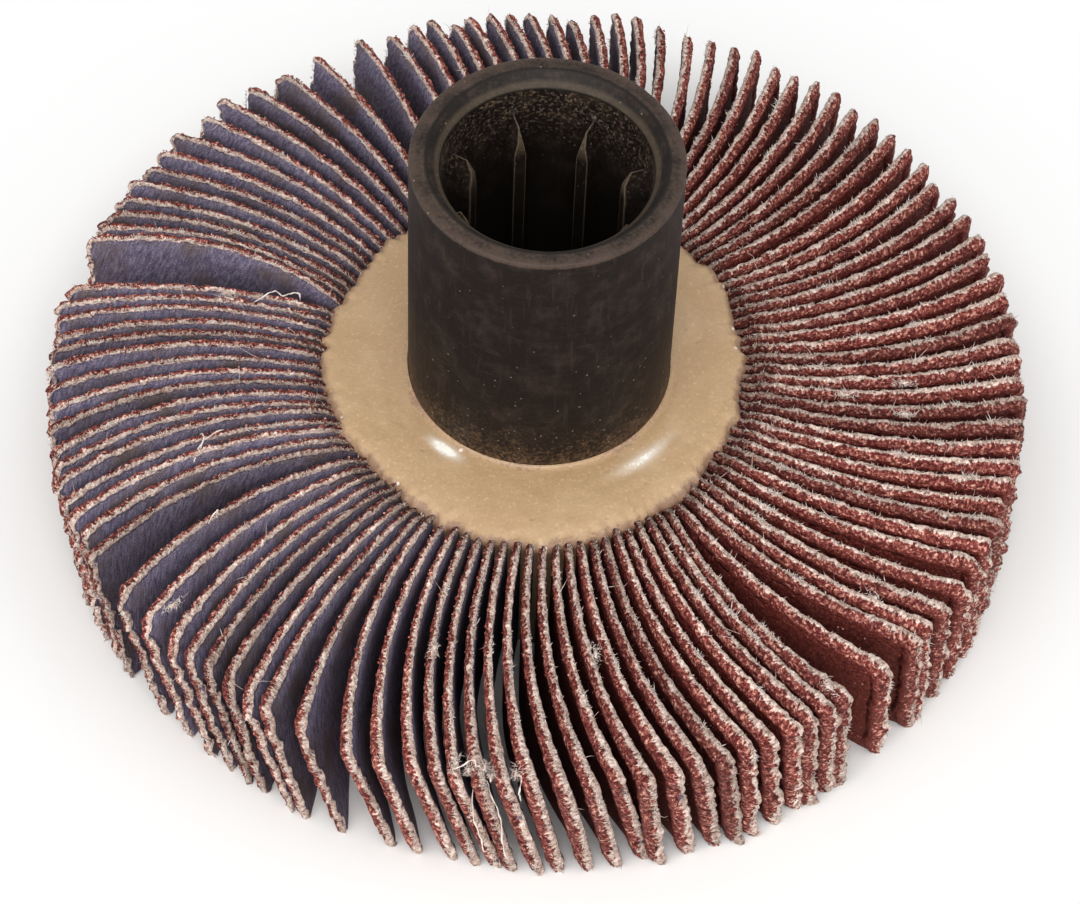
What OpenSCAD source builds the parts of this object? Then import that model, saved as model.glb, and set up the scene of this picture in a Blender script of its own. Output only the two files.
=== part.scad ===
// Flap wheel: strips of grit-coated cloth stand on edge around a moulded hub,
// with their roots set in a poured ring of resin.
// The origin is on the wheel's axis at the underside, and the hub rises along +Z.

/* [Wheel] */
// Diameter over the tips of the flaps
wheel_d = 100; // [90:1:115]
// Number of flaps, two to a node
flap_count = 112; // [100:2:114]
// Width of a flap, which is the thickness of the wheel
flap_w = 17.2; // [10:0.1:25]
// Thickness of the cloth with its grit
flap_t = 0.9; // [0.7:0.05:0.95]
// Rounding that use has worn onto the flaps' outer corners
corner_r = 1.2; // [0.4:0.1:3]

/* [Resin ring] */
// Resin between two flaps where their roots are closest
film = 0.15; // [0.1:0.01:0.25]
// How far the roots reach into the resin
bond_depth = 3.9; // [2:0.1:6]
// Resin that covers the flaps' top edges
cover_t = 0.6; // [0.5:0.1:2]
// Rounding at the rim of the cover
cover_edge_r = 0.5; // [0.2:0.05:0.5]
// Resin that has crept up the hub
creep_r = 0.5; // [0.5:0.1:2]

/* [Hub] */
// Outer diameter of the hub tube
hub_d = 27; // [25:0.1:29]
// Length of the hub from the underside of the wheel
hub_l = 49.2; // [35:0.1:70]
// Thickness of the tube's wall
hub_wall_t = 3.15; // [3:0.05:4]
// Rounding of the hub's upper outer edge
hub_edge_r = 0.4; // [0.4:0.1:1.4]
// Depth of the sloped lead-in at each mouth
lead_in_l = 1.4; // [0.5:0.1:2.5]
// How much wider the lead-in is than the bore, on each side
lead_in_w = 1.3; // [0.5:0.1:1.4]

/* [Drive ribs] */
// Number of ribs inside the bore
rib_count = 8; // [3:1:10]
// Angle of the first rib
rib_turn = 20; // [0:1:45]
// Width of a rib where it leaves the bore wall
rib_w = 1.6; // [1:0.1:2.5]
// Width of a rib at its crest
rib_crest_w = 1.2; // [0.6:0.1:2]
// Height of a rib above the bore wall
rib_h = 2.4; // [1:0.1:3.5]
// Smooth stretch of bore between a lead-in and the ribs
rib_inset = 3.5; // [3:0.1:8]
// Length of the bevel at each end of a rib
rib_bevel_l = 1.6; // [0.8:0.1:3]
// How far that bevel reaches in from the crest
rib_bevel_w = 0.7; // [0.3:0.1:0.9]

/* [Hidden] */
$fn = 96;
tiny = 0.01;
// How far a cutting shape runs past what it cuts
overrun = 1;
pair_count = flap_count / 2;

wheel_r = wheel_d / 2;
hub_r = hub_d / 2;
bore_r = hub_r - hub_wall_t;
flap_pitch = 360 / flap_count;
// The roots stand as close as the cloth and its film of resin allow
root_r = flap_count * (flap_t + film) / (2 * PI);
// The bow is set halfway along a flap
bow_r = (root_r + wheel_r) / 2;
ring_r = root_r + bond_depth;
ring_h = flap_w + cover_t;
mouth_l = lead_in_l + rib_inset;
crest_r = bore_r - rib_h;
// The foot of a rib reaches to the middle of the hub wall
buried_r = (bore_r + hub_r) / 2;

// The set that the flaps have taken in use, read around the wheel:
// [angle of the root, lead of the flap at its bow, lead at its tip], all in degrees.
// A lead that jumps between two rows is a place where the flaps have parted.
flap_set = [
    [0, 0.5, 3.6],
    [30, 0.2, 3],
    [50, -0.4, 2.6],
    [67, -1.6, 1.7],
    [71, -2.2, 1.7],
    [73, -0.6, 1.8],
    [84, -1, 0],
    [96, -2.4, -2.5],
    [115, -5.4, -6],
    [119, -4.6, -3.4],
    [122, -3, -0.4],
    [125, -1.6, 1.6],
    [129, -0.8, 3.2],
    [138, 1.4, 4.5],
    [147, 1.8, 4.6],
    [154, 1.2, 3],
    [161, -0.6, -0.2],
    [164, 2.6, 6.6],
    [170, 2.2, 4.6],
    [180, 0.4, 2],
    [193, -0.3, 0.6],
    [203, -2.1, -1.6],
    [212, -3.2, -3.2],
    [215, -0.6, 0.4],
    [222, 0.4, 3.2],
    [238, -1, 1.8],
    [241, -0.8, 3.2],
    [244, -0.2, 6],
    [250, 1, 7.4],
    [257, 0.8, 5.4],
    [264, 0.4, 3.8],
    [278, 0.2, 3.5],
    [300, -0.9, 1.8],
    [309, -2.2, -0.4],
    [312, -0.6, 3.2],
    [315, 0.3, 5],
    [321, -0.4, 3.6],
    [328, 1.2, 5.6],
    [336, 0.8, 4.4],
    [360, 0.5, 3.6]
];

function pair_name(p) = str("flap_pair_", p < 10 ? "0" : "", p);

function on_circle(r, a) = [r * cos(a), r * sin(a)];

// The lead of flap k in degrees, from column 1 (bow) or 2 (tip) of the set
function lead(k, column) = lookup(k * flap_pitch, [for (row = flap_set) [row[0], row[column]]]);

// Centre of the circle through three points
function centre_through(p, q, s) =
    let (
        pp = p * p,
        qq = q * q,
        ss = s * s,
        d = 2 * (p.x * (q.y - s.y) + q.x * (s.y - p.y) + s.x * (p.y - q.y)),
        x = pp * (q.y - s.y) + qq * (s.y - p.y) + ss * (p.y - q.y),
        y = pp * (s.x - q.x) + qq * (p.x - s.x) + ss * (q.x - p.x)
    )
    [x / d, y / d];

// A flat ring between two radii
module ring(inner, outer) {
    difference() {
        circle(r = outer);
        circle(r = inner);
    }
}

// A pie slice about angle a, wide enough for one flap with its lean
module slice(a) {
    half = 30;
    reach = 2 * wheel_r;
    polygon([[0, 0], on_circle(reach, a - half), on_circle(reach, a + half)]);
}

// Flap k seen from above: a strip of cloth bowed through its root, bow and tip
module strip(k) {
    a = k * flap_pitch;
    root = on_circle(root_r, a);
    bow = on_circle(bow_r, a + lead(k, 1));
    tip = on_circle(wheel_r, a + lead(k, 2));
    centre = centre_through(root, bow, tip);
    bend_r = norm(bow - centre);
    intersection() {
        translate(centre) ring(bend_r - flap_t / 2, bend_r + flap_t / 2);
        slice(a);
    }
}

// What all the flaps together fill: a thick washer with worn outer corners
module flap_zone() {
    rotate_extrude() {
        translate([root_r, 0]) square([wheel_r - root_r - corner_r, flap_w]);
        translate([root_r, corner_r]) square([wheel_r - root_r, flap_w - 2 * corner_r]);
        for (z = [corner_r, flap_w - corner_r])
            translate([wheel_r - corner_r, z]) circle(r = corner_r);
    }
}

module flap(k) {
    intersection() {
        linear_extrude(height = flap_w) strip(k);
        flap_zone();
    }
}

// Two neighbouring flaps, as separate solids
module flap_pair(p) {
    color([0.5, 0.3, 0.28]) {
        flap(2 * p - 2);
        flap(2 * p - 1);
    }
}

// Resin ring before the roots are set in it, with its creep up the hub
module ring_blank() {
    rotate_extrude() {
        difference() {
            translate([hub_r, 0]) square([ring_r - hub_r, ring_h + creep_r]);
            translate([hub_r + creep_r, ring_h + creep_r]) circle(r = creep_r);
            translate([hub_r + creep_r, ring_h]) square([ring_r - hub_r, 2 * creep_r]);
            translate([ring_r - cover_edge_r, ring_h - cover_edge_r]) difference() {
                square(2 * cover_edge_r);
                circle(r = cover_edge_r);
            }
        }
    }
}

// The poured ring, with a seat for the root of every flap
module resin_ring() {
    color([0.76, 0.65, 0.47])
    difference() {
        ring_blank();
        linear_extrude(height = flap_w)
        for (k = [0 : flap_count - 1]) intersection() {
            strip(k);
            ring(root_r, ring_r + overrun);
        }
    }
}

// Section of the hub wall, from the bore outwards
module hub_wall() {
    difference() {
        translate([bore_r, 0]) square([hub_r - bore_r, hub_l]);
        polygon([
            [bore_r - tiny, hub_l - lead_in_l],
            [bore_r + lead_in_w, hub_l + tiny],
            [bore_r - tiny, hub_l + tiny]
        ]);
        polygon([
            [bore_r - tiny, lead_in_l],
            [bore_r + lead_in_w, -tiny],
            [bore_r - tiny, -tiny]
        ]);
        translate([hub_r - hub_edge_r, hub_l - hub_edge_r]) difference() {
            square(2 * hub_edge_r);
            circle(r = hub_edge_r);
        }
    }
}

// Side view of a rib, from its crest to inside the hub wall
module rib_side() {
    shoulder_r = crest_r + rib_bevel_w;
    low = mouth_l;
    high = hub_l - mouth_l;
    polygon([
        [buried_r, low],
        [shoulder_r, low],
        [crest_r, low + rib_bevel_l],
        [crest_r, high - rib_bevel_l],
        [shoulder_r, high],
        [buried_r, high]
    ]);
}

// One rib: its plan tapers from the wall to the crest
module rib() {
    spread = (rib_w - rib_crest_w) / rib_h;
    buried_w = rib_w + spread * (buried_r - bore_r);
    intersection() {
        rotate_extrude() rib_side();
        linear_extrude(height = hub_l)
        polygon([
            [crest_r - overrun, -rib_crest_w / 2],
            [crest_r, -rib_crest_w / 2],
            [buried_r, -buried_w / 2],
            [buried_r, buried_w / 2],
            [crest_r, rib_crest_w / 2],
            [crest_r - overrun, rib_crest_w / 2]
        ]);
    }
}

// Moulded hub: a straight tube with lead-ins at its mouths and ribs in its bore
module hub() {
    color([0.16, 0.14, 0.13])
    union() {
        rotate_extrude() hub_wall();
        for (n = [0 : rib_count - 1])
            rotate([0, 0, rib_turn + n * 360 / rib_count]) rib();
    }
}

hub();
resin_ring();
for (p = [1 : pair_count])
    flap_pair(p);
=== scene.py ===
"""Looks of the flap wheel: worn grit-coated cloth around a moulded hub in a poured ring of resin.

Lengths are in metres, in the frame of the CAD part: the origin is on the wheel's axis at its
underside and +Z runs up the hub. Angles are in degrees, counter-clockwise from +X.
"""

import logging
import math
from collections.abc import Callable
from dataclasses import dataclass
from enum import Enum

import bpy
import numpy as np
from mathutils import Matrix


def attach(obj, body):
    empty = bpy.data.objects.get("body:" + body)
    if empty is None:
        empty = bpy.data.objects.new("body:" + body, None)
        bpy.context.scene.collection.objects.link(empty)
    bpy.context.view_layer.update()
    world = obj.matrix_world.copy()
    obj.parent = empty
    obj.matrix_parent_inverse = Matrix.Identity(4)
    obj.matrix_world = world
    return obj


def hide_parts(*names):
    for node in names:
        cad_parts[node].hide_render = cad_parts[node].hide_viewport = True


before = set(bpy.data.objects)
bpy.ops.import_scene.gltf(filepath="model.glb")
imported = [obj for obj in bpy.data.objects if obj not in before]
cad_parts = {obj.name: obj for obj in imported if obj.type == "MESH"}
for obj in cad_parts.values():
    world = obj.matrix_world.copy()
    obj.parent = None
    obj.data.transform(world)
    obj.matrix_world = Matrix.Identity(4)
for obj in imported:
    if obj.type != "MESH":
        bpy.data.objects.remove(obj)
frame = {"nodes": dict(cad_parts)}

Array = np.ndarray
Colour = tuple[float, float, float]
Stops = tuple[tuple[float, Colour], ...]
Table = tuple[tuple[float, float], ...]
MM = 0.001
MICRON = 1e-6
DAMPING = 19.7
ABOVE_TABLE = 0.01 * MM
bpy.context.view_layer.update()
log = logging.getLogger("flap_wheel")


# Numbers and surfaces


def smooth(x: Array, low: float, high: float) -> Array:
    """Rises from 0 at low to 1 at high along 3t^2 - 2t^3.

    Args:
        x: values to read.
        low: where the rise starts.
        high: where it ends.

    Returns:
        Values from 0 to 1, in the shape of x.
    """
    t = np.clip((x - low) / (high - low), 0, 1)
    return t * t * (3 - 2 * t)


def rough(rng: np.random.Generator, shape: tuple[int, ...], reach: tuple[float, ...]) -> Array:
    """Random field without steps: white noise whose spectrum falls along exp(-2 (pi reach f)^2).

    Args:
        rng: source of the noise.
        shape: number of samples along each axis.
        reach: how far the field stays alike along each axis, in samples.

    Returns:
        A field of mean 0 and spread 1 that repeats along each axis.
    """
    spectrum = np.fft.fftn(rng.standard_normal(shape))
    for axis, (count, far) in enumerate(zip(shape, reach)):
        wave = np.fft.fftfreq(count) * far
        along = [-1 if a == axis else 1 for a in range(len(shape))]
        spectrum = spectrum * np.exp(-DAMPING * wave**2).reshape(along)
    made = np.fft.ifftn(spectrum).real
    return (made - made.mean()) / max(made.std(), 1e-9)


def around(angle: Array | float, table: Table) -> Array:
    """Reads a table of (angle, value) rows at angles round the wheel, straight between rows."""
    angles, values = zip(*table)
    return np.interp(angle, angles, values, period=360)


def towards(angle: float, target: float) -> float:
    """Share that falls from 1 at the target to 0 opposite it: (1 + cos(angle - target)) / 2."""
    return (1 + math.cos(math.radians(angle - target))) / 2


def polar(radius: Array, angle: Array, z: Array) -> Array:
    """Points at a radius and an angle in degrees: x = r cos a, y = r sin a.

    Args:
        radius: distance from the axis.
        angle: angle from +X, in degrees.
        z: height.

    Returns:
        Points, with x, y and z along the last axis.
    """
    a = np.radians(angle)
    return np.stack(np.broadcast_arrays(radius * np.cos(a), radius * np.sin(a), z), -1)


@dataclass
class Surface:
    """Faces over points, with what the finishes read at each point.

    place holds (along, up, across) in metres on the piece's own surface, and marks holds
    (edge, side, tone), each from 0 to 1.
    """

    points: Array
    faces: list[Array]
    place: Array
    marks: Array
    layer: "Layer"
    shade_smooth: bool = True

    @staticmethod
    def grid(points: Array, place: Array, marks: Array, layer: "Layer", ends: "Ends") -> "Surface":
        """Quads between the rows of a grid, closed round its second axis.

        Args:
            points: points as rows by columns by 3, clockwise along the rows.
            place: the same grid of places.
            marks: the same grid of marks.
            layer: what the surface is a layer of.
            ends: how the first and last rows are closed.

        Returns:
            The surface, with its faces outwards.
        """
        rows, columns = points.shape[:2]
        index = np.arange(rows * columns).reshape(rows, columns)
        if ends is Ends.JOINED:
            index = np.vstack([index, index[:1]])
        turned = np.roll(index, -1, axis=1)
        faces = [np.stack([index[:-1], turned[:-1], turned[1:], index[1:]], -1).reshape(-1, 4)]
        if ends is Ends.CAPPED:
            k = np.arange(1, columns - 1)
            fan = np.stack([k * 0, k + 1, k], -1)
            faces += [fan, (fan + index[-1, 0])[:, ::-1]]
        flat = [part.reshape(-1, 3) for part in (points, place, marks)]
        return Surface(flat[0], faces, flat[1], flat[2], layer)


class Layer(Enum):
    """What a surface is made of, by the number of its material on the piece."""

    BODY = 0
    GRAIN = 1
    FIBRE = 2


class Ends(Enum):
    """How a grid's first and last rows are closed: a fan each, on each other, or not at all."""

    CAPPED = "capped"
    JOINED = "joined"
    OPEN = "open"


def build(
    name: str, surfaces: list[Surface], finishes: list[bpy.types.Material]
) -> bpy.types.Object:
    """Puts surfaces into one mesh object at the origin.

    Args:
        name: the object's name.
        surfaces: what it is made of.
        finishes: materials in the order of the layers.

    Returns:
        The object, linked to the scene.
    """
    starts = np.cumsum([0] + [len(s.points) for s in surfaces])
    faces = [(f + start, s) for s, start in zip(surfaces, starts) for f in s.faces if len(f)]
    sizes = np.concatenate([np.full(len(f), f.shape[1]) for f, _ in faces])
    corners = np.concatenate([f.ravel() for f, _ in faces])
    numbers = np.concatenate([np.full(len(f), s.layer.value) for f, s in faces])
    soft = np.concatenate([np.full(len(f), s.shade_smooth) for f, s in faces])
    points, place, marks = (
        np.concatenate([getattr(s, part) for s in surfaces]).astype(np.float32).ravel()
        for part in ("points", "place", "marks")
    )
    mesh = bpy.data.meshes.new(name)
    mesh.vertices.add(int(starts[-1]))
    mesh.vertices.foreach_set("co", points)
    mesh.loops.add(int(sizes.sum()))
    mesh.loops.foreach_set("vertex_index", corners.astype(np.int32))
    mesh.polygons.add(len(sizes))
    mesh.polygons.foreach_set("loop_start", (np.cumsum(sizes) - sizes).astype(np.int32))
    mesh.polygons.foreach_set("material_index", numbers.astype(np.int32))
    mesh.polygons.foreach_set("use_smooth", soft)
    for label, values in (("place", place), ("marks", marks)):
        kept = mesh.attributes.new(label, "FLOAT_VECTOR", "POINT")
        kept.data.foreach_set("vector", values)
    mesh.update(calc_edges=True)
    mesh.validate()
    for finish in finishes:
        mesh.materials.append(finish)
    made = bpy.data.objects.new(name, mesh)
    bpy.context.scene.collection.objects.link(made)
    return made


# Shader expressions


def operator(operation: str, swapped: bool = False) -> Callable:
    """Makes a method that adds a Math node over a signal and another value.

    Args:
        operation: the node's operation.
        swapped: whether the other value comes first, as in a reflected operator.

    Returns:
        The method.
    """

    def act(self: "Signal", other: "Signal | float") -> "Signal":
        """Adds the node and gives its result."""
        values = (other, self) if swapped else (self, other)
        settings = {"operation": operation}
        return self.bench.node("ShaderNodeMath", settings, dict(enumerate(values)))

    return act


class Signal:
    """A shader socket in a Python expression: an operator between two of them adds a Math node."""

    __add__ = operator("ADD")
    __radd__ = operator("ADD", swapped=True)
    __sub__ = operator("SUBTRACT")
    __rsub__ = operator("SUBTRACT", swapped=True)
    __mul__ = operator("MULTIPLY")
    __rmul__ = operator("MULTIPLY", swapped=True)
    __pow__ = operator("POWER")
    top = operator("MAXIMUM")

    def __init__(self, bench: "Bench", socket: bpy.types.NodeSocket) -> None:
        """Keeps the socket and the bench that it belongs to."""
        self.bench = bench
        self.socket = socket

    def step(self, low: float, high: float) -> "Signal":
        """0 below low, 1 above high, and smooth between.

        Args:
            low: where the rise starts.
            high: where it ends.

        Returns:
            The stepped signal.
        """
        settings = {"interpolation_type": "SMOOTHSTEP"}
        inputs = {"Value": self, "From Min": low, "From Max": high}
        return self.bench.node("ShaderNodeMapRange", settings, inputs)


class Bench:
    """Where the nodes of one material or of the world are put together."""

    def __init__(self, owner: "bpy.types.Material | bpy.types.World") -> None:
        """Switches the owner's nodes on and keeps its tree."""
        owner.use_nodes = True
        self.owner = owner
        self.tree = owner.node_tree

    @classmethod
    def material(cls, name: str) -> "Bench":
        """Starts a new material with a Principled shader."""
        return cls(bpy.data.materials.new(name))

    def node(
        self,
        kind: str,
        settings: dict | None = None,
        inputs: dict | None = None,
        output: str | int = 0,
    ) -> Signal:
        """Adds one node.

        Args:
            kind: the node's type.
            settings: its own settings; "stops" are a colour ramp's places and colours.
            inputs: values or signals by the socket's name or number.
            output: the socket to give back.

        Returns:
            The signal of that output.
        """
        made = self.tree.nodes.new(kind)
        for key, value in (settings or {}).items():
            if key == "stops":
                stops = made.color_ramp.elements
                while len(stops) < len(value):
                    stops.new(1)
                for stop, (place, colour) in zip(stops, value):
                    stop.position = place
                    stop.color = (*colour, 1)
            else:
                setattr(made, key, value)
        for key, value in (inputs or {}).items():
            self.feed(made.inputs[key], value)
        return Signal(self, made.outputs[output])

    def feed(self, socket: bpy.types.NodeSocket, value: "Signal | float | tuple") -> None:
        """Links a signal to a socket, or sets the socket to a value."""
        if isinstance(value, Signal):
            self.tree.links.new(value.socket, socket)
        elif socket.type == "RGBA" and len(value) == 3:
            socket.default_value = (*value, 1)
        else:
            socket.default_value = value

    def parts(self, vector: Signal) -> tuple[Signal, Signal, Signal]:
        """Splits a vector into its three numbers."""
        first = self.node("ShaderNodeSeparateXYZ", None, {0: vector}, "X")
        outputs = first.socket.node.outputs
        return first, Signal(self, outputs["Y"]), Signal(self, outputs["Z"])

    def attribute(self, name: str) -> Signal:
        """Reads a vector that the piece's points carry."""
        return self.node("ShaderNodeAttribute", {"attribute_name": name}, None, "Vector")

    def position(self) -> Signal:
        """The point's place in the object's own coordinates."""
        return self.node("ShaderNodeTexCoord", None, None, "Object")

    def vector(self, x: Signal, y: Signal, z: Signal) -> Signal:
        """Joins three numbers into a vector."""
        return self.node("ShaderNodeCombineXYZ", None, {0: x, 1: y, 2: z})

    def noise(
        self, vector: Signal, per_metre: float, detail: float = 2, roughness: float = 0.5
    ) -> Signal:
        """Cloudy noise from 0 to 1, with that many swells a metre."""
        inputs = {"Vector": vector, "Scale": per_metre, "Detail": detail, "Roughness": roughness}
        return self.node("ShaderNodeTexNoise", None, inputs)

    def cells(self, vector: Signal, per_metre: float) -> tuple[Signal, Signal]:
        """Irregular cells: the distance from each one's middle and a random number for it.

        Args:
            vector: where to read them.
            per_metre: cells a metre.

        Returns:
            Distance, and a number from 0 to 1 that is the same over a cell.
        """
        inputs = {"Vector": vector, "Scale": per_metre}
        far = self.node("ShaderNodeTexVoronoi", None, inputs, "Distance")
        colour = Signal(self, far.socket.node.outputs["Color"])
        return far, self.parts(colour)[0]

    def ramp(self, factor: Signal, *stops: tuple[float, Colour]) -> Signal:
        """Colour along stops of (place, colour)."""
        return self.node("ShaderNodeValToRGB", {"stops": stops}, {"Fac": factor})

    def mix(
        self,
        factor: "Signal | float",
        low: "Signal | Colour",
        high: "Signal | Colour",
        blend: str = "MIX",
    ) -> Signal:
        """Mixes two colours.

        Args:
            factor: share of the second one.
            low: first colour.
            high: second colour.
            blend: how they are mixed.

        Returns:
            The mixed colour.
        """
        settings = {"data_type": "RGBA", "blend_type": blend}
        return self.node("ShaderNodeMix", settings, {0: factor, 6: low, 7: high}, 2)

    def bump(self, height: Signal, distance: float, strength: float = 1.0) -> Signal:
        """Normal of a surface that rises by height times distance."""
        inputs = {"Height": height, "Distance": distance, "Strength": strength}
        return self.node("ShaderNodeBump", None, inputs)

    def dress(self, **sockets: "Signal | float | Colour") -> bpy.types.Material:
        """Sets the shader's sockets, with spaces in their names written as _.

        Args:
            sockets: values or signals by socket.

        Returns:
            The finished material.
        """
        shader = self.tree.nodes["Principled BSDF"]
        for key, value in sockets.items():
            self.feed(shader.inputs[key.replace("_", " ")], value)
        return self.owner


# Finishes


@dataclass(frozen=True)
class CoatedCloth:
    """Strip of cloth: grit on one face, twill on the other, worn and frayed along its edges."""

    grit: Stops = (
        (0.3, (0.045, 0.006, 0.004)),
        (0.45, (0.105, 0.014, 0.01)),
        (0.58, (0.18, 0.03, 0.021)),
        (0.75, (0.34, 0.1, 0.075)),
    )
    worn: Stops = (
        (0.33, (0.045, 0.006, 0.005)),
        (0.44, (0.115, 0.017, 0.014)),
        (0.56, (0.26, 0.066, 0.05)),
        (0.7, (0.74, 0.4, 0.31)),
    )
    thread: Stops = (
        (0.3, (0.2, 0.115, 0.09)),
        (0.43, (0.41, 0.29, 0.24)),
        (0.56, (0.64, 0.5, 0.43)),
        (0.74, (0.88, 0.77, 0.69)),
    )
    twill: Stops = (
        (0.34, (0.036, 0.03, 0.056)),
        (0.5, (0.118, 0.1, 0.156)),
        (0.66, (0.25, 0.22, 0.28)),
    )
    tones: Stops = ((0, (0.34, 0.3, 0.28)), (0.4, (0.85, 0.85, 0.85)), (1, (1.15, 1.15, 1.15)))
    # deep: painted shade, the dark maroon that the grit face takes low down between the flaps
    deep: Colour = (0.16, 0.03, 0.018)
    dust: Colour = (0.085, 0.058, 0.045)
    grains_per_metre: float = 3600
    specks_per_metre: float = 3000
    fuzz_per_metre: float = 5200
    patches_per_metre: float = 480
    clouds_per_metre: float = 170
    # low and high: heights over which the painted shade on the grit face fades out upwards
    low: float = 0.0085
    high: float = 0.0168
    relief: float = 0.12 * MM

    def material(self) -> bpy.types.Material:
        """Makes the material: colours by the edge and side marks, broken up by grain and weave,
        with painted shade low on the grit face.
        """
        b = Bench.material("coated_cloth")
        place = b.attribute("place")
        edge, side, tone = b.parts(b.attribute("marks"))
        along, up, across = b.parts(place)
        fine = b.noise(place, self.fuzz_per_metre, 2, 0.7)
        patches = b.noise(place, self.patches_per_metre, 3, 0.6)
        far, pick = b.cells(place, self.grains_per_metre)
        coarse = b.noise(place, self.specks_per_metre, 2, 0.7)
        speck = coarse * 0.8 + pick * 0.2
        grit = b.ramp(speck, *self.grit)
        # Painted shade: the grit face darkens towards the bottom, deep between the flaps.
        grit = b.mix((1 - up.step(self.low, self.high)) * 0.45, grit, self.deep)
        slanted = b.vector(along * 3300 + up * 1300, up * 900, across * 2000)
        weave = b.noise(slanted, 1, 2, 0.6) * 0.5 + fine * 0.5
        cloth = b.ramp(weave, *self.twill)
        dirty = b.noise(place, self.clouds_per_metre, 3).step(0.45, 0.7)
        cloth = b.mix(dirty * 0.75, cloth, self.dust)
        pale = b.ramp(speck, *self.thread)
        red = b.ramp(speck, *self.worn)
        torn = side + (patches - 0.5) * 0.6 + (coarse - 0.5) * 0.5
        rim = b.mix(torn.step(0.5, 0.62), red, pale)
        woven = side.step(0.4, 0.6)
        faces = b.mix(woven, grit, cloth)
        shown = (edge + (fine - 0.5) * 0.8).step(0.3, 0.7)
        colour = b.mix(shown, faces, rim)
        shades = b.ramp(tone, *self.tones)
        plain = woven * (1 - shown)
        height = (0.6 - far) * (1 - plain) + weave * plain * 0.35 + coarse * shown
        return b.dress(
            Base_Color=b.mix(1.0, colour, shades, "MULTIPLY"),
            Roughness=0.65 + side * 0.3,
            Normal=b.bump(height, self.relief),
            Specular_IOR_Level=0.25,
        )


@dataclass(frozen=True)
class ToneFinish:
    """A finish whose colour runs over the tone mark alone."""

    name: str
    stops: Stops
    roughness: float
    gloss: float

    def material(self) -> bpy.types.Material:
        """Makes the material.

        Returns:
            The material, with a ramp over the tone mark.
        """
        b = Bench.material(self.name)
        colour = b.ramp(b.parts(b.attribute("marks"))[2], *self.stops)
        return b.dress(
            Base_Color=colour, Roughness=self.roughness, Specular_IOR_Level=self.gloss
        )


MAROON_TO_SALMON = (
    (0, (0.1, 0.012, 0.008)),
    (0.4, (0.24, 0.04, 0.026)),
    (0.75, (0.42, 0.13, 0.09)),
    (1, (0.68, 0.38, 0.29)),
)
STAINED_TO_WHITE = (
    (0, (0.34, 0.19, 0.145)),
    (0.4, (0.62, 0.46, 0.385)),
    (1, (0.93, 0.87, 0.81)),
)
GRAIN = ToneFinish("abrasive_grain", MAROON_TO_SALMON, roughness=0.5, gloss=0.4)
FIBRE = ToneFinish("frayed_fibre", STAINED_TO_WHITE, roughness=0.9, gloss=0.2)


@dataclass(frozen=True)
class TanResin:
    """Filled casting resin with sandy grain, chipped and glossy by the hub, with painted shade next
    to the hub, a painted highlight and painted glints.
    """

    sand: Colour = (0.435, 0.285, 0.152)
    light: Colour = (0.58, 0.42, 0.265)
    dark: Colour = (0.4, 0.25, 0.135)
    stain: Colour = (0.2, 0.105, 0.07)
    bead: Colour = (0.82, 0.7, 0.6)
    chip_and_highlight_colour: Colour = (0.93, 0.89, 0.81)
    grains_per_metre: float = 2900
    blotches_per_metre: float = 240
    dots_per_metre: float = 800
    relief: float = 0.09 * MM

    def material(self) -> bpy.types.Material:
        """Makes the material: sandy speckle over soft blotches, stained towards the flaps, with
        painted shade by the hub, a painted highlight and painted glints.
        """
        b = Bench.material("tan_resin")
        point = b.position()
        edge, gloss, chip_and_highlight_mark = b.parts(b.attribute("marks"))
        speckle = b.noise(point, self.grains_per_metre, 3, 0.65)
        blotch = b.noise(point, self.blotches_per_metre, 3)
        plain = ((0.46, self.sand), (0.58, self.sand))
        colour = b.ramp(speckle, (0.3, self.dark), *plain, (0.74, self.light))
        colour = b.mix(blotch.step(0.4, 0.75) * 0.25, colour, self.light)
        far, pick = b.cells(point, self.dots_per_metre)
        dots = 1 - far.step(0.1, 0.24)
        pits = dots * pick.step(0.88, 0.9)
        colour = b.mix(pits * 0.6, colour, self.dark)
        # The edge mark stains the resin towards the flaps and paints shade next to the hub.
        stained = (edge + (speckle - 0.5) * 1.3 + (blotch - 0.5) * 0.8).step(0.5, 1.05)
        colour = b.mix(stained * 0.75, colour, self.stain)
        beads = dots * (1 - pick.step(0.22, 0.24)) * edge.step(0.2, 0.5)
        colour = b.mix(beads * 0.9, colour, self.bead)
        # Pale patches: a chip, and a painted highlight beside the hub, with white specks in both.
        white = (chip_and_highlight_mark + (speckle - 0.5) * 1.6).step(0.65, 0.95)
        colour = b.mix(chip_and_highlight_mark * 0.8, colour, self.chip_and_highlight_colour)
        # Painted glints: a few small pale dots over the resin.
        pale = dots * pick.step(0.7, 0.72) * (1 - pick.step(0.76, 0.78))
        colour = b.mix(pale * 0.5, colour, self.light)
        colour = b.mix(white * 0.9, colour, self.chip_and_highlight_colour)
        height = speckle + blotch * 0.5 - pits + beads
        return b.dress(
            Base_Color=colour,
            Roughness=0.56 - gloss * 0.22 + (speckle - 0.5) * 0.2,
            Normal=b.bump(height, self.relief, 0.6),
            Specular_IOR_Level=0.5,
        )


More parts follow.
